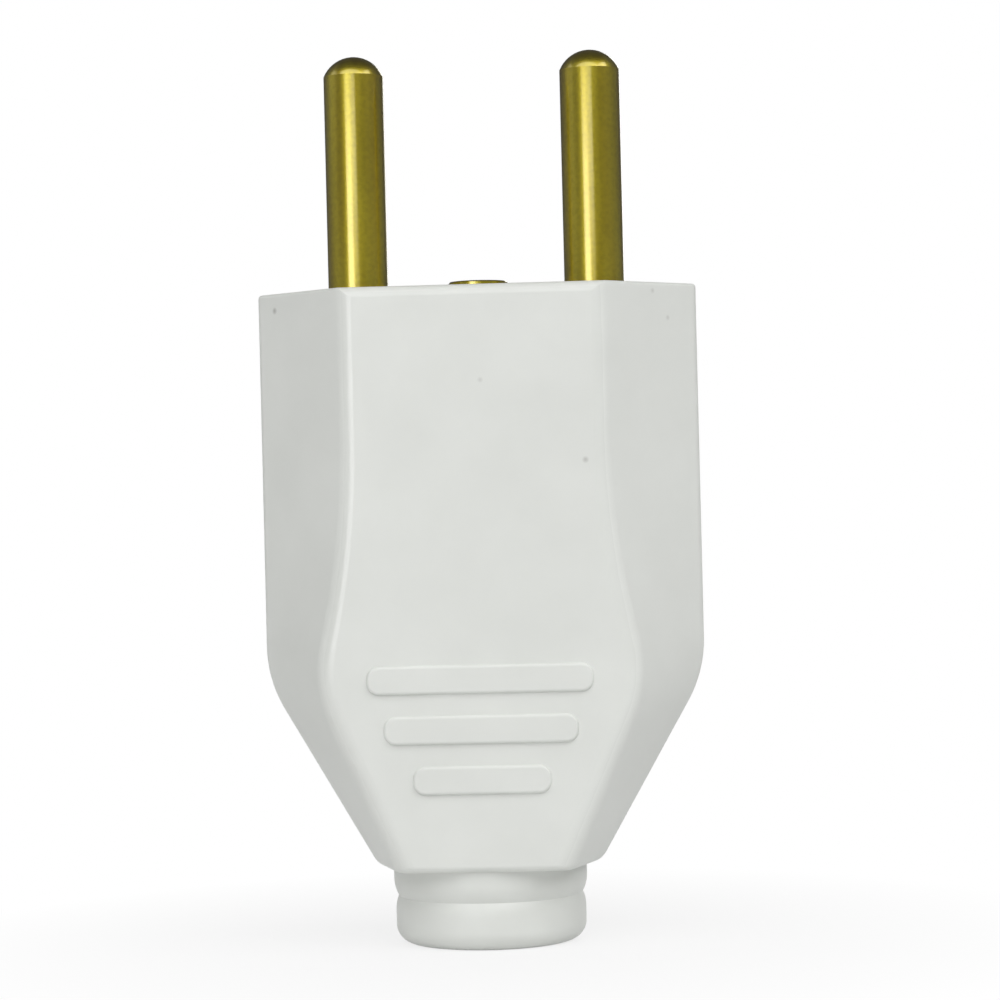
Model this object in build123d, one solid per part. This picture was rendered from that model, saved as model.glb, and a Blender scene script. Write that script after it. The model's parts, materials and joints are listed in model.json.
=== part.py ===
"""Rewirable two-pin mains plug, standing on its cord end with the pins up.

Two moulded half shells meet in the XZ plane. They trap two solid round pins,
a blanking stud and a cable grommet, and one screw from the rear holds them shut.
Inside are the pins' wire terminals and a two-screw cord clamp.
"""
import math
import os

from build123d import *

# Pins
pin_diameter = 4.8
pin_length = 19.0  # out of the face
pin_spacing = 19.0
pin_dome_height = 1.6
pin_relief = 0.1  # the full diameter stops this far above the face
pin_seat_diameter = 4.4
pin_seat_depth = 0.8
pin_neck_diameter = 3.8
terminal_diameter = 6.8
terminal_length = 12.4
terminal_chamfer = 0.3
wire_hole_diameter = 3.4
wire_hole_depth = 8.6

# Housing
housing_length = 45.9  # face to cord end
housing_thickness = 16.6
face_width = 35.15  # across the side edges
face_flat_width = 20.15  # across the flat front
shoulder_flat_width = 25.75
cord_end_width = 17.95
cord_end_flat_width = 13.3
engagement_depth = 12.0  # the part that enters a socket
taper_length = 14.95  # shoulder to cord end
shoulder_radius = 10.0
side_band = 1.2  # upright strip along the parting line
side_edge_radius = 0.9
front_edge_radius = 1.7
face_edge_radius = 0.3
front_lip_radius = 0.85  # along the flat front's upper edge
cord_edge_radius = 0.55
cord_corner_radius = 1.4  # of the outline, at the parting line
seam_chamfer = 0.12
wall = 1.8
face_wall = 2.2
cord_wall = 2.4
lip_height = 0.8  # the front shell's lip, inside the rear shell's rebate

# Grip ribs on both broad faces, from the shoulder down
grip_widths = (17.75, 15.2, 10.8)
grip_height = 2.25
grip_pitch = 3.93
grip_top = 15.1  # middle of the widest rib, above the cord end
grip_rise = 0.3
grip_corner_radius = 0.95
grip_edge_radius = 0.27

# Cable grommet
ring_diameter = 15.25
ring_height = 3.8
ring_edge_radius = 1.5
ring_crown = 1.1  # height of the round above the ring's straight wall
groove_diameter = 14.75
neck_diameter = 15.5
neck_height = 2.5
neck_straight = 1.1  # straight wall above the neck's round
waist_diameter = 11.2
flange_diameter = 12.6
flange_height = 1.4
cable_bore_diameter = 9.0
bore_lead = 0.8

# Blanking stud, in the unused earth position
stud_offset = 3.0  # behind the plane of the pins
stud_rise = 0.85
stud_edge = 0.1
stud_flange_diameter = 5.6
stud_flange_height = 1.2

# Housing screw and its square nut
boss_diameter = 8.8
boss_height = 24.2  # above the cord end
housing_screw_diameter = 3.0
housing_screw_length = 10.0
housing_head_diameter = 5.5
housing_head_height = 2.0
housing_head_seat = 4.0  # behind the parting plane
counterbore_diameter = 6.4
counterbore_edge = 0.3
nut_width = 5.5
nut_height = 2.2

# Terminal screws
terminal_screw_diameter = 3.0
terminal_screw_length = 3.2
terminal_head_diameter = 4.0
terminal_head_height = 1.4
terminal_screw_height = 5.3  # above the wire end of the terminal
terminal_flat = 2.6  # head seat, behind the pin's axis

# Cord clamp
cable_channel_diameter = 7.2
clamp_height = 9.2  # above the cord end
clamp_width = 5.0
clamp_length = 18.0
clamp_thickness = 2.2
clamp_arch = 1.3  # thickness over the cable
clamp_seat = -0.5  # the posts' tops, from the parting plane
clamp_edge_radius = 0.4
clamp_end = 2.0  # from a screw to the bar's end
clamp_screw_diameter = 2.2
clamp_screw_length = 6.5
clamp_head_diameter = 3.9
clamp_head_height = 1.3
clamp_post_diameter = 4.4
saddle_thickness = 1.2
saddle_spacing = 2.6

# Inner webs and dowels
cradle_thickness = 1.5
cradle_margin = 1.3
cradle_heights = (1.6, 9.2)  # above the wire end of the terminal
barrier_thickness = 1.4
dowel_diameter = 2.4
dowel_length = 1.4
dowel_boss_diameter = 4.0
dowel_inset = 4.3  # from the housing's side
dowel_height = 19.0  # above the cord end

# Screw drives
slot_width = 0.7
slot_depth = 0.7
cross_width = 0.8
cross_depth = 1.0
cross_taper = 12.0

# Space left round a seated piece, and how far a cutter runs past its face
fit = 0.05
overcut = 1.0

# Levels, up from the ring's end
cord_end_z = ring_height + neck_height
face_z = cord_end_z + housing_length
shoulder_z = cord_end_z + taper_length
flare_z = face_z - engagement_depth
boss_z = cord_end_z + boss_height
clamp_z = cord_end_z + clamp_height
dowel_z = cord_end_z + dowel_height
grip_z = cord_end_z + grip_top

# The neck of a pin sits in the face's wall, and the terminal hangs below it
pin_neck_length = face_wall - pin_seat_depth + 2 * fit
terminal_top = face_z - pin_seat_depth - pin_neck_length
terminal_low = terminal_top - terminal_length
terminal_screw_z = terminal_low + terminal_screw_height

half_thickness = housing_thickness / 2
half_band = side_band / 2
half_width = face_width / 2
pin_x = pin_spacing / 2
dowel_x = half_width - dowel_inset
clamp_screw_x = clamp_length / 2 - clamp_end


def block(x0, x1, y0, y1, z0, z1):
    """Box between two corners."""
    centre = Pos((x0 + x1) / 2, (y0 + y1) / 2, (z0 + z1) / 2)
    return centre * Box(x1 - x0, y1 - y0, z1 - z0)


def upright(x, y, diameter, z0, z1):
    """Round bar along Z."""
    return Pos(x, y, (z0 + z1) / 2) * Cylinder(diameter / 2, z1 - z0)


def crosswise(x, z, diameter, y0, y1):
    """Round bar along Y, from front to rear."""
    return Pos(x, (y0 + y1) / 2, z) * Rot(90, 0, 0) * Cylinder(diameter / 2, y1 - y0)


def facing_rear(shape, x, y, z):
    """A shape made along Z, turned to face the rear, its origin at the given place."""
    return Pos(x, y, z) * Rot(-90, 0, 0) * shape


def both_sides(shape):
    """A shape and its mirror image across the plug's middle."""
    return shape + shape.mirror(Plane.YZ)


def outline(face_half, shoulder_half, end_half, top_z, low_z):
    """Outline of the housing seen from the front, with X across and Y up.

    The flanks run straight down to the flare, out to the shoulder and in to the cord end.
    """
    low_half = end_half + (shoulder_half - end_half) * (low_z - cord_end_z) / taper_length
    upper = Line((face_half, top_z), (face_half, flare_z))
    if shoulder_half - face_half > 0.5:
        flare = TangentArc((face_half, flare_z), (shoulder_half, shoulder_z), tangent=(0, -1))
    else:
        flare = Line((face_half, flare_z), (shoulder_half, shoulder_z))
    taper = Line((shoulder_half, shoulder_z), (low_half, low_z))
    flank = [upper, flare, taper]
    other = [edge.mirror(Plane.YZ) for edge in flank]
    ends = [
        Line((low_half, low_z), (-low_half, low_z)),
        Line((-face_half, top_z), (face_half, top_z)),
    ]
    face = make_face(flank + other + ends)
    shoulders = [v for v in face.vertices() if abs(v.Y - shoulder_z) < 0.01]
    return fillet(shoulders, shoulder_radius)


def inset_widths(inset):
    """Half widths of the parting and front outlines, set in by a wall's thickness."""
    stations = (
        (face_width, face_flat_width),
        (face_width, shoulder_flat_width),
        (cord_end_width, cord_end_flat_width),
    )
    sides = []
    flats = []
    rise = half_thickness - half_band
    for side, flat in stations:
        run = (side - flat) / 2
        slope = math.hypot(run, rise)
        sides.append(side / 2 - inset * slope / rise)
        flats.append(flat / 2 - inset * (slope - run) / rise)
    return sides, flats


def half_form(inset=0.0, face_inset=0.0, cord_inset=0.0):
    """Front half of the housing's form, or of the hollow inside it."""
    sides, flats = inset_widths(inset)
    levels = (face_z - face_inset, cord_end_z + cord_inset)
    rim = outline(*sides, *levels)
    front = outline(*flats, *levels)
    band = extrude(Plane.XZ * rim, half_band)
    bevel = loft([
        Plane.XZ.offset(half_band) * rim,
        Plane.XZ.offset(half_thickness - inset) * front,
    ], ruled=True)
    return band + bevel


def lip_waste():
    """What is cut away to round the upper edge of the flat front."""
    front = -half_thickness
    edge = front_lip_radius
    section = make_face([
        TangentArc((front, face_z - edge), (front + edge, face_z), tangent=(0, 1)),
        Polyline(
            (front + edge, face_z),
            (front + edge, face_z + overcut),
            (front - overcut, face_z + overcut),
            (front - overcut, face_z - edge),
            (front, face_z - edge),
        ),
    ])
    return extrude(Plane.YZ * section, half_width, both=True)


def corner_waste():
    """What is cut away to round the outline's corners at the cord end."""
    end_half = cord_end_width / 2
    lean = math.atan2(half_width - end_half, taper_length)
    reach = cord_corner_radius * math.tan(math.pi / 4 - lean / 2)
    low = Vector(end_half - reach, cord_end_z)
    high = Vector(end_half + reach * math.sin(lean), cord_end_z + reach * math.cos(lean))
    outward = Vector(math.cos(lean), -math.sin(lean)) * overcut
    section = make_face([
        TangentArc(low, high, tangent=(1, 0)),
        Polyline(high, high + outward, low - Vector(0, overcut), low),
    ])
    return both_sides(extrude(Plane.XZ * section, half_thickness, both=True))


def rounded_half():
    """Front half of the outer form, its edges rounded and the parting edge eased."""
    body = half_form()
    front_edges = body.faces().sort_by(Axis.Y)[0].edges().filter_by(Axis.X, reverse=True)
    body = fillet(front_edges, front_edge_radius)
    band_edges = body.edges().filter_by_position(Axis.Y, -half_band, -half_band)
    body = fillet(band_edges.filter_by(Axis.X, reverse=True), side_edge_radius)
    face_edges = body.faces().sort_by(Axis.Z)[-1].edges()
    body = fillet([e for e in face_edges if e.center().Y < -0.01], face_edge_radius)
    body -= lip_waste()
    cord_edges = body.faces().sort_by(Axis.Z)[0].edges()
    body = fillet([e for e in cord_edges if e.center().Y < -0.01], cord_edge_radius)
    body -= corner_waste()
    seam_edges = body.faces().sort_by(Axis.Y)[-1].edges()
    return chamfer(seam_edges, seam_chamfer)


def grip_ribs():
    """Three raised bars on the front face, narrower towards the cord."""
    ribs = []
    for row, width in enumerate(grip_widths):
        bar = Pos(0, grip_z - row * grip_pitch) * RectangleRounded(
            width, grip_height, grip_corner_radius)
        rib = extrude(Plane.XZ.offset(half_thickness - wall / 2) * bar, wall / 2 + grip_rise)
        ribs.append(fillet(rib.faces().sort_by(Axis.Y)[0].edges(), grip_edge_radius))
    return ribs


def shell_webs():
    """Cradles under the terminals, barrier between them, screw boss and dowel bosses."""
    inner = pin_x - terminal_diameter / 2 - cradle_margin
    webs = block(
        -barrier_thickness / 2, barrier_thickness / 2, -half_thickness, 0, boss_z, face_z)
    webs += crosswise(0, boss_z, boss_diameter, -half_thickness, 0)
    webs += both_sides(crosswise(dowel_x, dowel_z, dowel_boss_diameter, -half_thickness, 0))
    for height in cradle_heights:
        low = terminal_low + height
        webs += both_sides(block(
            inner, half_width, -half_thickness, 0, low, low + cradle_thickness))
    return webs


def clamp_posts():
    """Posts for the cord clamp's screws, with two notched saddles between them."""
    posts = both_sides(crosswise(
        clamp_screw_x, clamp_z, clamp_post_diameter, -half_thickness, clamp_seat))
    for side in (-1, 1):
        middle = clamp_z + side * saddle_spacing / 2
        posts += block(
            -clamp_screw_x, clamp_screw_x, -half_thickness, clamp_seat,
            middle - saddle_thickness / 2, middle + saddle_thickness / 2)
    return posts - upright(0, 0, cable_channel_diameter, cord_end_z, boss_z)


def pin_seats():
    """Room for both pins and their terminals."""
    seat = upright(
        pin_x, 0, pin_seat_diameter + 2 * fit, face_z - pin_seat_depth, face_z + pin_length)
    seat += upright(pin_x, 0, pin_neck_diameter + 2 * fit, terminal_top, face_z)
    seat += upright(
        pin_x, 0, terminal_diameter + 2 * fit, terminal_low - fit, terminal_top + fit)
    return both_sides(seat)


def lip_ring(outer, inner, height):
    """Strip along both flanks on the parting plane, between two depths of wall."""
    low_z = cord_end_z + cord_wall + flange_height
    levels = (face_z - face_wall, low_z)
    outer_sides, _ = inset_widths(outer)
    inner_sides, _ = inset_widths(inner)
    ring = outline(*outer_sides, *levels) - outline(*inner_sides, *levels)
    return extrude(Plane.XZ * ring, -height)


def make_shells():
    """The front and rear half shells."""
    hollow = half_form(wall, face_wall, cord_wall)
    trim = half_form(wall / 2, face_wall / 2, cord_wall / 2)
    blank = rounded_half() - hollow
    for rib in grip_ribs():
        blank += rib
    webs = shell_webs() & trim
    seats = pin_seats()
    seats += upright(0, 0, waist_diameter + 2 * fit, 0, cord_end_z + cord_wall + fit)
    screw_hole = housing_screw_diameter + 6 * fit

    front = blank + webs + (clamp_posts() & trim)
    front += both_sides(crosswise(dowel_x, dowel_z, dowel_diameter, -wall, dowel_length))
    front += lip_ring(wall / 2, wall, lip_height)
    front -= seats
    front -= crosswise(0, boss_z, screw_hole, wall - half_thickness, overcut)
    pocket = nut_width / 2 + fit
    front -= block(
        -pocket, pocket, -nut_height - 2 * fit, overcut, boss_z - pocket, boss_z + pocket)
    front -= both_sides(crosswise(
        clamp_screw_x, clamp_z, clamp_screw_diameter + 2 * fit, wall - half_thickness, overcut))

    rear = blank.mirror(Plane.XZ) + webs.mirror(Plane.XZ)
    rear -= seats
    rear -= crosswise(0, boss_z, screw_hole, -overcut, half_thickness)
    rear -= crosswise(0, boss_z, counterbore_diameter, housing_head_seat, half_thickness)
    rim = Cone(counterbore_diameter / 2, counterbore_diameter / 2 + counterbore_edge, counterbore_edge)
    rear -= facing_rear(rim, 0, half_thickness - counterbore_edge / 2, boss_z)
    rear -= both_sides(crosswise(
        dowel_x, dowel_z, dowel_diameter + 2 * fit, -overcut, dowel_length + 2 * fit))
    rear -= lip_ring(wall / 2 - 2 * fit, wall + 2 * fit, lip_height + 2 * fit)
    rear -= upright(0, stud_offset, pin_diameter + 2 * fit, face_z - face_wall, face_z + overcut)
    stud_low = face_z - face_wall - stud_flange_height
    rear -= upright(0, stud_offset, stud_flange_diameter + 2 * fit, stud_low, face_z - face_wall)
    return front, rear


def make_pin():
    """Turned pin on the Z axis: domed shank, neck, and a terminal with a wire hole."""
    shank = pin_diameter / 2
    seat = pin_seat_diameter / 2
    neck = pin_neck_diameter / 2
    barrel = terminal_diameter / 2
    neck_top = face_z - pin_seat_depth
    tip = face_z + pin_length
    dome_start = tip - pin_dome_height
    dome_radius = (shank ** 2 + pin_dome_height ** 2) / (2 * pin_dome_height)
    side = Polyline(
        (0, terminal_low),
        (barrel - terminal_chamfer, terminal_low),
        (barrel, terminal_low + terminal_chamfer),
        (barrel, terminal_top - terminal_chamfer),
        (barrel - terminal_chamfer, terminal_top),
        (neck, terminal_top),
        (neck, neck_top),
        (seat, neck_top),
        (seat, face_z + pin_relief),
        (shank, face_z + pin_relief),
        (shank, dome_start),
    )
    dome = RadiusArc((shank, dome_start), (0, tip), -dome_radius)
    axis = Line((0, tip), (0, terminal_low))
    pin = revolve(Plane.XZ * make_face([side, dome, axis]), Axis.Z)
    pin -= upright(0, 0, wire_hole_diameter, terminal_low - overcut, terminal_low + wire_hole_depth)
    pin -= crosswise(0, terminal_screw_z, terminal_screw_diameter + 2 * fit, 0, barrel)
    flat = terminal_head_diameter / 2 + 4 * fit
    pin -= block(
        -barrel, barrel, terminal_flat, barrel, terminal_screw_z - flat, terminal_screw_z + flat)
    return pin


def make_grommet():
    """Moulded ring, groove and neck outside, waist and flange inside, round a cable bore."""
    bore = cable_bore_diameter / 2
    ring = ring_diameter / 2
    groove = groove_diameter / 2
    neck = neck_diameter / 2
    waist = waist_diameter / 2
    flange = flange_diameter / 2
    waist_top = cord_end_z + cord_wall + 2 * fit
    profile = make_face([
        Line((bore, bore_lead), (bore + bore_lead, 0)),
        Line((bore + bore_lead, 0), (ring - ring_edge_radius, 0)),
        TangentArc((ring - ring_edge_radius, 0), (ring, ring_edge_radius), tangent=(1, 0)),
        Line((ring, ring_edge_radius), (ring, ring_height - ring_crown)),
        TangentArc((ring, ring_height - ring_crown), (groove, ring_height), tangent=(0, 1)),
        TangentArc((neck, cord_end_z - neck_straight), (groove, ring_height), tangent=(0, -1)),
        Polyline(
            (neck, cord_end_z - neck_straight),
            (neck, cord_end_z),
            (waist, cord_end_z),
            (waist, waist_top),
            (flange, waist_top),
            (flange, waist_top + flange_height),
            (bore, waist_top + flange_height),
            (bore, bore_lead),
        ),
    ])
    return revolve(Plane.XZ * profile, Axis.Z)


def make_stud():
    """Short stud with a flange behind the face."""
    flange_top = face_z - face_wall
    stud = upright(0, stud_offset, pin_diameter, flange_top, face_z + stud_rise)
    stud = chamfer(stud.edges().sort_by(Axis.Z)[-1], stud_edge)
    return stud + upright(
        0, stud_offset, stud_flange_diameter, flange_top - stud_flange_height, flange_top)


def slotted_screw(head_diameter, head_height, shank_diameter, shank_length):
    """Cheese-head screw, head up on the XY plane."""
    head = Pos(0, 0, head_height / 2) * Cylinder(head_diameter / 2, head_height)
    head = chamfer(head.edges().sort_by(Axis.Z)[-1], slot_depth / 3)
    head -= Pos(0, 0, head_height) * Box(head_diameter, slot_width, 2 * slot_depth)
    shank = Pos(0, 0, -shank_length / 2) * Cylinder(shank_diameter / 2, shank_length)
    shank = chamfer(shank.edges().sort_by(Axis.Z)[0], shank_diameter / 10)
    return head + shank


def cross_screw(head_diameter, head_height, shank_diameter, shank_length):
    """Pan-head screw with a cross recess, head up on the XY plane."""
    head = Pos(0, 0, head_height / 2) * Cylinder(head_diameter / 2, head_height)
    head = chamfer(head.edges().sort_by(Axis.Z)[-1], head_height * 0.5, head_height * 0.3)
    arm = head_diameter * 0.56
    cross = Rectangle(arm, cross_width) + Rectangle(cross_width, arm)
    recess = extrude(Pos(0, 0, head_height) * cross, -cross_depth, taper=cross_taper)
    shank = Pos(0, 0, -shank_length / 2) * Cylinder(shank_diameter / 2, shank_length)
    shank = chamfer(shank.edges().sort_by(Axis.Z)[0], shank_diameter / 8)
    return head - recess + shank


def make_clamp():
    """Arched clamp bar over the cable channel."""
    arch = cable_channel_diameter / 2 + clamp_arch
    middle = clamp_seat + clamp_thickness / 2
    profile = Pos(0, middle) * Rectangle(clamp_length, clamp_thickness)
    profile += Circle(arch) & Pos(0, clamp_seat + arch) * Rectangle(2 * arch, 2 * arch)
    profile -= Circle(cable_channel_diameter / 2)
    bar = extrude(Pos(0, 0, clamp_z - clamp_width / 2) * profile, clamp_width)
    ends = bar.edges().filter_by(Axis.Y)
    bar = fillet(ends, clamp_edge_radius)
    hole = crosswise(
        clamp_screw_x, clamp_z, clamp_screw_diameter + 4 * fit, clamp_seat - overcut,
        clamp_seat + clamp_thickness + overcut)
    return bar - both_sides(hole)


def make_nut():
    """Square nut in the front shell's pocket."""
    nut = block(
        -nut_width / 2, nut_width / 2, -nut_height - 2 * fit, -2 * fit,
        boss_z - nut_width / 2, boss_z + nut_width / 2)
    return nut - crosswise(0, boss_z, housing_screw_diameter + 2 * fit, -half_thickness, overcut)


front_shell, rear_shell = make_shells()
pin = make_pin()
terminal_screw = slotted_screw(
    terminal_head_diameter, terminal_head_height, terminal_screw_diameter, terminal_screw_length)
clamp_screw = cross_screw(
    clamp_head_diameter, clamp_head_height, clamp_screw_diameter, clamp_screw_length)
housing_screw = cross_screw(
    housing_head_diameter, housing_head_height, housing_screw_diameter, housing_screw_length)
clamp_top = clamp_seat + clamp_thickness

nodes = {
    "front_shell": front_shell,
    "rear_shell": rear_shell,
    "left_pin": Pos(-pin_x, 0, 0) * pin,
    "right_pin": Pos(pin_x, 0, 0) * pin,
    "left_terminal_screw": facing_rear(terminal_screw, -pin_x, terminal_flat, terminal_screw_z),
    "right_terminal_screw": facing_rear(terminal_screw, pin_x, terminal_flat, terminal_screw_z),
    "blanking_stud": make_stud(),
    "cable_grommet": make_grommet(),
    "cord_clamp": make_clamp(),
    "left_clamp_screw": facing_rear(clamp_screw, -clamp_screw_x, clamp_top, clamp_z),
    "right_clamp_screw": facing_rear(clamp_screw, clamp_screw_x, clamp_top, clamp_z),
    "housing_screw": facing_rear(housing_screw, 0, housing_head_seat, boss_z),
    "housing_nut": make_nut(),
}

os.makedirs("parts", exist_ok=True)
for name, shape in nodes.items():
    export_step(shape, f"parts/{name}.step")
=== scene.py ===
import json
import math

import bpy
from mathutils import Matrix, Vector


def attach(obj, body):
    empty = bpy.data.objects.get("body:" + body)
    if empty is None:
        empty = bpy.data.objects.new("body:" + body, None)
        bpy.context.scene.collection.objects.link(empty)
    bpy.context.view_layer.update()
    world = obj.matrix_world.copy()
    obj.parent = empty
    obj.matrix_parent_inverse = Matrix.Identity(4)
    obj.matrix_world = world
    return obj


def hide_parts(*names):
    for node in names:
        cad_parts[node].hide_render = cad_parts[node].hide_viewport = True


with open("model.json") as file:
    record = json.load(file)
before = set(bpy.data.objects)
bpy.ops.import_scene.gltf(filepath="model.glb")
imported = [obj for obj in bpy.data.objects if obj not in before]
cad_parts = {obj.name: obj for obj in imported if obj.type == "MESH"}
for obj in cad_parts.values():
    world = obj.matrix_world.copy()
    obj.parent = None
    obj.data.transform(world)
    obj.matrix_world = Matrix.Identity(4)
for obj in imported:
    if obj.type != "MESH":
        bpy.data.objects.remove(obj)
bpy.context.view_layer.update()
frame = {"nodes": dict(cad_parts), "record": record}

MM = 0.001

# The camera that took the photograph, in metres and degrees unless a name says otherwise
PHOTO_PIXELS = 1000
FOCAL_PIXELS = 3210
SENSOR_MM = 36.0
CAMERA_DISTANCE = 0.258
CAMERA_AZIMUTH = 2.9
CAMERA_ROLL = 1.41
AIM_HEIGHT = 0.03528
AIM_RIGHT = 0.00149

# The cable grommet, in millimetres, with levels from the surface that the plug stands on
BORE_RADIUS = 4.5
BORE_LEAD = 0.8  # chamfer at the mouth of the bore
RING_RADIUS = 7.625
RING_EDGE_RADIUS = 1.5
RING_HEIGHT = 3.8  # level of the groove between ring and neck
RING_CROWN = 1.1  # rise of the round above the ring's straight wall
GROOVE_RADIUS = 7.375
NECK_RADIUS = 7.75
NECK_STRAIGHT = 5.2  # level at which the neck's straight wall begins
NECK_TOP = 6.3
WAIST_RADIUS = 5.6
FLANGE_RADIUS = 6.3
FLANGE_LOW = 8.8
FLANGE_TOP = 10.2
GROMMET_SEGMENTS = 128
SHARP_ANGLE = 30

# Specks in the housing: place and radius in millimetres, and how dark
HOUSING_SPECKS = (
    ((8.64, -8.3, 38.26), 0.3, 0.36),
    ((0.59, -8.3, 44.67), 0.26, 0.2),
    ((-16.07, -2.15, 50.83), 0.32, 0.5),
    ((14.15, -4.12, 51.5), 0.26, 0.25),
    ((15.3, -2.94, 49.4), 0.26, 0.25),
)
SPECK_COLOUR = (0.22, 0.21, 0.19)
SPECK_CORE = 0.2  # share of a speck's radius that is fully dark

# The stage, with lengths in metres and greys as strengths or colours
FLOOR_RADIUS = 3.0
FLOOR_SIDES = 96
FLOOR_GREY = 0.82
SHADOW_REACH = (0.008, 0.05)  # from the plug's axis, where the floor fades to white
SHADOW_WHITE = (0.78, 1.0)  # share of white at either end of that reach
AMBIENT = 0.01  # strength of the even light
TENT_RADIUS = 1.3
TENT_HEIGHT = 1.4
TENT_SIDES = 48
TENT_GREYS = (0.07, 0.16)  # in front and behind, and at the sides
TENT_TURN = (0.5, 0.95)  # shares of the radius between which the grey changes


class Nodes:
    """One node tree. Each pattern that it adds gives back the socket with its result."""

    def __init__(self, tree):
        self.tree = tree

    def add(self, kind):
        return self.tree.nodes.new(kind)

    def join(self, source, target):
        self.tree.links.new(source, target)

    def coords(self, kind="Object"):
        """The place on the object, or its normal there, in the object's own axes."""
        return self.add("ShaderNodeTexCoord").outputs[kind]

    def math(self, operation, *values):
        """One or two sockets put through a math node."""
        node = self.add("ShaderNodeMath")
        node.operation = operation
        for value, socket in zip(values, node.inputs):
            self.join(value, socket)
        return node.outputs[0]

    def along(self, vector, axis):
        """How far a vector reaches along an axis, either way."""
        parts = self.add("ShaderNodeSeparateXYZ")
        self.join(vector, parts.inputs[0])
        return self.math("ABSOLUTE", parts.outputs[axis])

    def distance(self, vector, place):
        node = self.add("ShaderNodeVectorMath")
        node.operation = "DISTANCE"
        node.inputs[1].default_value = place
        self.join(vector, node.inputs[0])
        return node.outputs["Value"]

    def noise(self, coords, scale, detail, stretch=(1, 1, 1)):
        """A noise pattern, its scale in cycles per metre."""
        mapping = self.add("ShaderNodeMapping")
        mapping.inputs["Scale"].default_value = stretch
        self.join(coords, mapping.inputs["Vector"])
        texture = self.add("ShaderNodeTexNoise")
        texture.inputs["Scale"].default_value = scale
        texture.inputs["Detail"].default_value = detail
        self.join(mapping.outputs["Vector"], texture.inputs["Vector"])
        return texture.outputs["Fac"]

    def spread(self, value, old, new):
        """Maps a range of values onto another, clamped at its ends."""
        ramp = self.add("ShaderNodeMapRange")
        for socket, number in zip(("From Min", "From Max", "To Min", "To Max"), (*old, *new)):
            ramp.inputs[socket].default_value = number
        self.join(value, ramp.inputs["Value"])
        return ramp.outputs["Result"]

    def blend(self, factor, first, second):
        """Mixes a colour, or a socket with one, and a second colour by a factor socket."""
        mix = self.add("ShaderNodeMix")
        mix.data_type = "RGBA"
        if isinstance(first, tuple):
            mix.inputs[6].default_value = (*first, 1.0)
        else:
            self.join(first, mix.inputs[6])
        mix.inputs[7].default_value = (*second, 1.0)
        self.join(factor, mix.inputs[0])
        return mix.outputs[2]

    def bump(self, height, distance, strength):
        """A bump whose height socket spans the distance given, in metres."""
        node = self.add("ShaderNodeBump")
        node.inputs["Distance"].default_value = distance
        node.inputs["Strength"].default_value = strength
        self.join(height, node.inputs["Height"])
        return node.outputs["Normal"]

    def mix_shaders(self, factor, first, second):
        mix = self.add("ShaderNodeMixShader")
        for source, socket in zip((factor, first, second), mix.inputs):
            self.join(source, socket)
        return mix.outputs[0]

    def ray_seen(self):
        """1 for rays that should see the bare white background, 0 for the rest."""
        path = self.add("ShaderNodeLightPath")
        total = path.outputs["Is Camera Ray"]
        for output in ("Is Glossy Ray", "Is Transmission Ray"):
            total = self.math("MAXIMUM", total, path.outputs[output])
        return total


def new_material(name):
    """A material with its nodes and its principled shader."""
    material = bpy.data.materials.new(name)
    material.use_nodes = True
    tree = material.node_tree
    shader = next(n for n in tree.nodes if n.type == "BSDF_PRINCIPLED")
    return material, Nodes(tree), shader


def bare_material(name):
    """A material with its nodes, of which there is only the output, and the output's socket."""
    material = bpy.data.materials.new(name)
    material.use_nodes = True
    material.node_tree.nodes.clear()
    nodes = Nodes(material.node_tree)
    return material, nodes, nodes.add("ShaderNodeOutputMaterial").inputs["Surface"]


def speck_mask(nodes, coords, specks):
    """How much the small specks darken the plastic."""
    total = None
    for place, radius, depth in specks:
        apart = nodes.distance(coords, [c * MM for c in place])
        dot = nodes.spread(apart, (SPECK_CORE * radius * MM, radius * MM), (depth, 0))
        total = dot if total is None else nodes.math("MAXIMUM", total, dot)
    return total


def moulded_plastic(name, light, dark, broad_roughness, flank_roughness, specks=()):
    """White moulded plastic: faint mottling, fine grain, and flanks less polished than broad faces."""
    material, nodes, shader = new_material(name)
    coords = nodes.coords()
    mottle = nodes.spread(nodes.noise(coords, scale=130, detail=4), (0.35, 0.65), (0, 1))
    colour = nodes.blend(mottle, light, dark)
    if specks:
        colour = nodes.blend(speck_mask(nodes, coords, specks), colour, SPECK_COLOUR)
    facing = nodes.along(nodes.coords("Normal"), "Y")
    polish = nodes.spread(facing, (0.75, 0.93), (flank_roughness, broad_roughness))
    cloud = nodes.spread(nodes.noise(coords, scale=420, detail=3), (0.3, 0.7), (-0.015, 0.015))
    grain = nodes.bump(nodes.noise(coords, scale=3500, detail=2), distance=0.000008, strength=0.2)
    nodes.join(colour, shader.inputs["Base Color"])
    nodes.join(nodes.math("ADD", polish, cloud), shader.inputs["Roughness"])
    nodes.join(grain, shader.inputs["Normal"])
    shader.inputs["IOR"].default_value = 1.5
    return material


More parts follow.
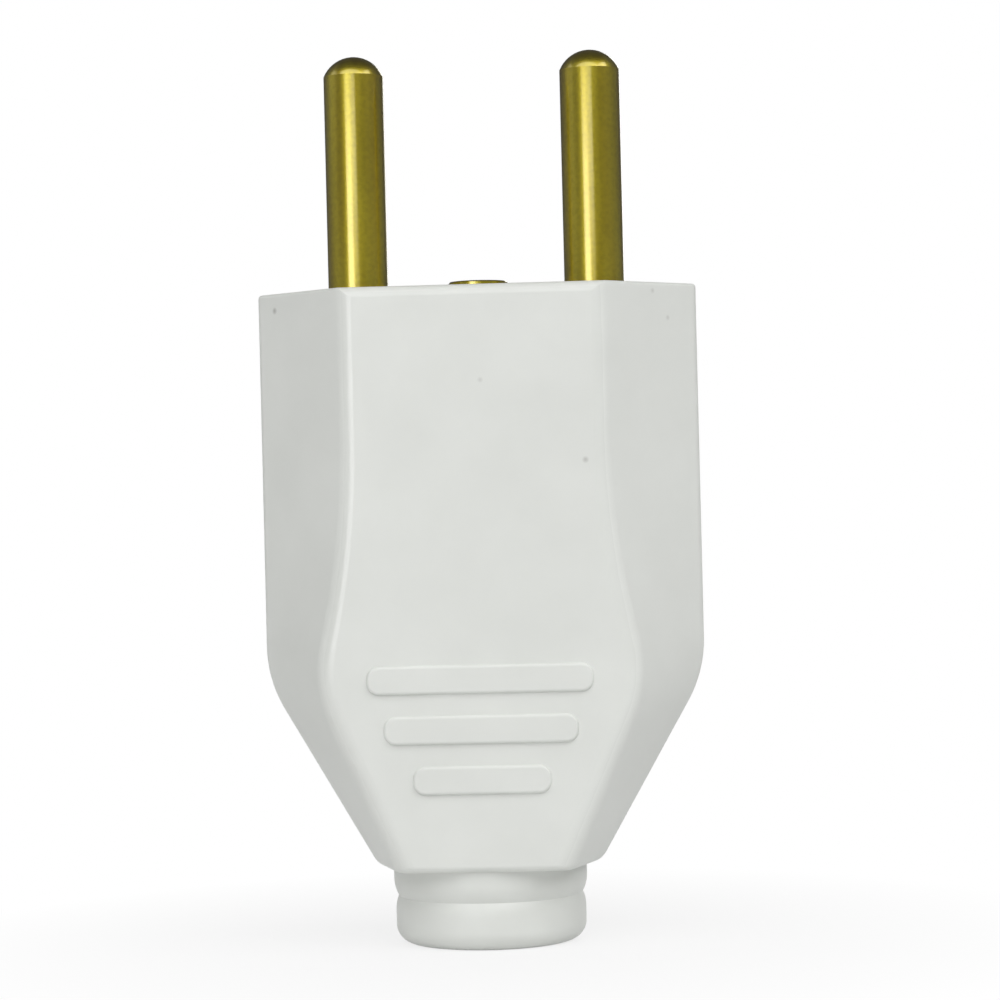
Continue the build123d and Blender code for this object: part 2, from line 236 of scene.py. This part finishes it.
def drawn_brass(name):
    """Drawn brass: lengthwise streaks, tarnish in patches and fine dark specks."""
    material, nodes, shader = new_material(name)
    coords = nodes.coords()
    streaks = nodes.noise(coords, scale=900, detail=1, stretch=(1, 1, 0.05))
    patches = nodes.noise(coords, scale=260, detail=4)
    specks = nodes.noise(coords, scale=3000, detail=2)
    colour = nodes.blend(
        nodes.spread(streaks, (0.35, 0.65), (0, 1)), (0.6, 0.5, 0.03), (0.5, 0.39, 0.014))
    colour = nodes.blend(nodes.spread(patches, (0.45, 0.75), (0, 0.25)), colour, (0.38, 0.3, 0.01))
    colour = nodes.blend(nodes.spread(specks, (0.4, 0.68), (0, 0.25)), colour, (0.26, 0.2, 0.01))
    nodes.join(colour, shader.inputs["Base Color"])
    nodes.join(nodes.spread(patches, (0.3, 0.7), (0.285, 0.315)), shader.inputs["Roughness"])
    nodes.join(nodes.bump(streaks, distance=0.00002, strength=0.1), shader.inputs["Normal"])
    shader.inputs["Metallic"].default_value = 1.0
    shader.inputs["Coat Weight"].default_value = 1.0
    shader.inputs["Coat IOR"].default_value = 1.8
    shader.inputs["Coat Roughness"].default_value = 0.15
    return material


def plated_steel(name):
    """Bright zinc plate on steel screws, clouded and finely scratched."""
    material, nodes, shader = new_material(name)
    coords = nodes.coords()
    clouds = nodes.noise(coords, scale=700, detail=4)
    scratches = nodes.noise(coords, scale=6000, detail=2)
    colour = nodes.blend(
        nodes.spread(clouds, (0.3, 0.7), (0, 1)), (0.62, 0.62, 0.6), (0.45, 0.45, 0.42))
    nodes.join(colour, shader.inputs["Base Color"])
    nodes.join(nodes.spread(clouds, (0.3, 0.7), (0.25, 0.42)), shader.inputs["Roughness"])
    nodes.join(nodes.bump(scratches, distance=0.00001, strength=0.25), shader.inputs["Normal"])
    shader.inputs["Metallic"].default_value = 1.0
    return material


def add_mesh(name, verts, faces, material):
    """A new object with its own mesh, in the scene."""
    mesh = bpy.data.meshes.new(name)
    mesh.from_pydata(verts, [], faces)
    mesh.materials.append(material)
    piece = bpy.data.objects.new(name, mesh)
    bpy.context.scene.collection.objects.link(piece)
    return piece


def circle(radius, sides, height=0.0):
    """Points round the upright axis."""
    turns = [2 * math.pi * i / sides for i in range(sides)]
    return [(radius * math.cos(t), radius * math.sin(t), height) for t in turns]


def arc(centre, radius, start, stop, steps):
    """Points on an arc in the plane of a profile, from one angle to another, in degrees."""
    turns = [math.radians(start + (stop - start) * i / steps) for i in range(steps + 1)]
    return [(centre[0] + radius * math.cos(t), centre[1] + radius * math.sin(t)) for t in turns]


def swell(wide, narrow, rise):
    """Radius and turn, in degrees, of an arc that leaves a wide upright wall for a narrower edge."""
    inset = wide - narrow
    radius = (inset ** 2 + rise ** 2) / (2 * inset)
    return radius, math.degrees(math.asin(rise / radius))


def turned(name, profile, material):
    """A closed profile of radii and heights in millimetres, turned about the upright axis."""
    verts = []
    for i in range(GROMMET_SEGMENTS):
        t = 2 * math.pi * i / GROMMET_SEGMENTS
        verts += [(r * math.cos(t) * MM, r * math.sin(t) * MM, z * MM) for r, z in profile]
    count = len(profile)
    faces = []
    for i in range(GROMMET_SEGMENTS):
        here, there = i * count, (i + 1) % GROMMET_SEGMENTS * count
        for j in range(count):
            k = (j + 1) % count
            faces.append((here + j, there + j, there + k, here + k))
    piece = add_mesh(name, verts, faces, material)
    piece.data.shade_smooth()
    piece.data.set_sharp_from_angle(angle=math.radians(SHARP_ANGLE))
    return piece


def make_grommet(material):
    """The cable grommet with an even, closely turned surface: ring, groove, neck and flange."""
    crown_low = RING_HEIGHT - RING_CROWN
    crown, crown_turn = swell(RING_RADIUS, GROOVE_RADIUS, RING_CROWN)
    hollow, hollow_turn = swell(NECK_RADIUS, GROOVE_RADIUS, NECK_STRAIGHT - RING_HEIGHT)
    edge_centre = (RING_RADIUS - RING_EDGE_RADIUS, RING_EDGE_RADIUS)
    profile = [(BORE_RADIUS, BORE_LEAD), (BORE_RADIUS + BORE_LEAD, 0)]
    profile += arc(edge_centre, RING_EDGE_RADIUS, -90, 0, steps=14)
    profile += arc((RING_RADIUS - crown, crown_low), crown, 0, crown_turn, steps=8)
    profile += arc((NECK_RADIUS - hollow, NECK_STRAIGHT), hollow, -hollow_turn, 0, steps=9)[1:]
    profile += [
        (NECK_RADIUS, NECK_TOP),
        (WAIST_RADIUS, NECK_TOP),
        (WAIST_RADIUS, FLANGE_LOW),
        (FLANGE_RADIUS, FLANGE_LOW),
        (FLANGE_RADIUS, FLANGE_TOP),
        (BORE_RADIUS, FLANGE_TOP),
    ]
    piece = turned("grommet_skin", profile, material)
    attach(piece, "root")
    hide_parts("cable_grommet")


def make_world():
    """White behind the object, and an even soft light from all round."""
    world = bpy.data.worlds.new("studio")
    world.use_nodes = True
    bpy.context.scene.world = world
    nodes = Nodes(world.node_tree)
    light = world.node_tree.nodes["Background"]
    light.inputs["Color"].default_value = (1, 1, 1, 1)
    light.inputs["Strength"].default_value = AMBIENT
    white = nodes.add("ShaderNodeBackground")
    white.inputs["Color"].default_value = (1, 1, 1, 1)
    white.inputs["Strength"].default_value = 1.0
    both = nodes.mix_shaders(nodes.ray_seen(), light.outputs[0], white.outputs[0])
    nodes.join(both, world.node_tree.nodes["World Output"].inputs["Surface"])


def make_floor():
    """Pale floor that shows the shadow near the object and fades to white further out."""
    material, nodes, surface = bare_material("floor")
    matt = nodes.add("ShaderNodeBsdfDiffuse")
    matt.inputs["Color"].default_value = (FLOOR_GREY, FLOOR_GREY, FLOOR_GREY, 1)
    glow = nodes.add("ShaderNodeEmission")
    glow.inputs["Strength"].default_value = 1.0
    fade = nodes.spread(nodes.distance(nodes.coords(), (0, 0, 0)), SHADOW_REACH, SHADOW_WHITE)
    seen = nodes.math("MULTIPLY", fade, nodes.ray_seen())
    nodes.join(nodes.mix_shaders(seen, matt.outputs[0], glow.outputs[0]), surface)
    ring = circle(FLOOR_RADIUS, FLOOR_SIDES)
    add_mesh("floor", ring, [tuple(range(FLOOR_SIDES))], material)


def make_tent():
    """Grey tent round the lamps, seen in reflections alone, so that metal has dark bands."""
    material, nodes, surface = bare_material("tent")
    glow = nodes.add("ShaderNodeEmission")
    turn = [share * TENT_RADIUS for share in TENT_TURN]
    nodes.join(nodes.spread(nodes.along(nodes.coords(), "X"), turn, TENT_GREYS), glow.inputs["Strength"])
    nodes.join(glow.outputs[0], surface)
    low = circle(TENT_RADIUS, TENT_SIDES)
    high = circle(TENT_RADIUS, TENT_SIDES, TENT_HEIGHT)
    faces = [tuple(range(TENT_SIDES, 2 * TENT_SIDES))]
    for i in range(TENT_SIDES):
        j = (i + 1) % TENT_SIDES
        faces.append((i, j, TENT_SIDES + j, TENT_SIDES + i))
    tent = add_mesh("tent", low + high, faces, material)
    tent.visible_camera = False
    tent.visible_diffuse = False
    tent.visible_shadow = False


def add_softbox(name, azimuth, elevation, distance, size, radiance, mirrored=True):
    """A rectangular soft lamp aimed at the middle of the object, mirrored in it or not."""
    a, e = math.radians(azimuth), math.radians(elevation)
    towards = Vector((math.sin(a) * math.cos(e), -math.cos(a) * math.cos(e), math.sin(e)))
    lamp = bpy.data.lights.new(name, "AREA")
    lamp.shape = "RECTANGLE"
    lamp.size, lamp.size_y = size
    lamp.energy = radiance * math.pi * lamp.size * lamp.size_y
    holder = bpy.data.objects.new(name, lamp)
    holder.location = Vector((0, 0, AIM_HEIGHT)) + towards * distance
    holder.rotation_euler = towards.to_track_quat("Z", "Y").to_euler()
    holder.visible_camera = False
    holder.visible_glossy = mirrored
    bpy.context.scene.collection.objects.link(holder)


def make_lamps():
    """Two low strips for the pins' highlights and the front's edge, and soft light all round."""
    add_softbox(
        "strip_softbox", azimuth=-20, elevation=3.3, distance=0.9, size=(0.35, 0.17), radiance=4.2)
    add_softbox(
        "pin_softbox", azimuth=0, elevation=8, distance=0.9, size=(0.26, 0.055), radiance=3.2)
    add_softbox(
        "key_softbox", azimuth=-6, elevation=44, distance=0.9, size=(1.3, 0.9), radiance=1.66)
    add_softbox(
        "right_fill", azimuth=62, elevation=40, distance=0.9, size=(0.7, 0.6), radiance=2.3)
    add_softbox(
        "left_fill", azimuth=-86, elevation=30, distance=0.9, size=(0.6, 0.6), radiance=0.66)
    add_softbox(
        "rear_fill", azimuth=180, elevation=12, distance=1.0, size=(1.6, 0.42), radiance=2.7,
        mirrored=False)
    add_softbox(
        "rear_strip", azimuth=170, elevation=12, distance=1.0, size=(0.2, 0.36), radiance=2.6)


def make_camera():
    """The photograph's camera: level, a little to the right, and slightly rolled."""
    a, r = math.radians(CAMERA_AZIMUTH), math.radians(CAMERA_ROLL)
    forward = Vector((-math.sin(a), math.cos(a), 0))
    level = Vector((math.cos(a), math.sin(a), 0))
    up = Vector((0, 0, 1))
    data = bpy.data.cameras.new("photo_camera")
    data.sensor_width = SENSOR_MM
    data.lens = FOCAL_PIXELS / PHOTO_PIXELS * SENSOR_MM
    data.clip_start, data.clip_end = 0.01, 20
    camera = bpy.data.objects.new("photo_camera", data)
    bpy.context.scene.collection.objects.link(camera)
    place = up * AIM_HEIGHT + level * AIM_RIGHT - forward * CAMERA_DISTANCE
    right = level * math.cos(r) - up * math.sin(r)
    top = up * math.cos(r) + level * math.sin(r)
    turn = Matrix((right, top, -forward)).transposed().to_4x4()
    camera.matrix_world = Matrix.Translation(place) @ turn
    bpy.context.scene.camera = camera


SLOT_MATERIALS = {
    "housing": moulded_plastic(
        "housing_plastic", light=(0.79, 0.806, 0.772), dark=(0.76, 0.776, 0.742),
        broad_roughness=0.2, flank_roughness=0.5, specks=HOUSING_SPECKS),
    "grommet": moulded_plastic(
        "grommet_plastic", light=(0.78, 0.796, 0.762), dark=(0.74, 0.756, 0.722),
        broad_roughness=0.31, flank_roughness=0.5),
    "clamp": moulded_plastic(
        "clamp_plastic", light=(0.72, 0.72, 0.70), dark=(0.66, 0.66, 0.64),
        broad_roughness=0.5, flank_roughness=0.55),
    "contact_brass": drawn_brass("pin_brass"),
    "screw_steel": plated_steel("screw_steel"),
}
for part in frame["record"]["subparts"]:
    node = frame["nodes"][part["node"]]
    node.data.materials.clear()
    node.data.materials.append(SLOT_MATERIALS[part["material_slot"]])

make_grommet(SLOT_MATERIALS["grommet"])
make_world()
make_floor()
make_tent()
make_lamps()
make_camera()
bpy.context.scene.view_settings.view_transform = "Standard"
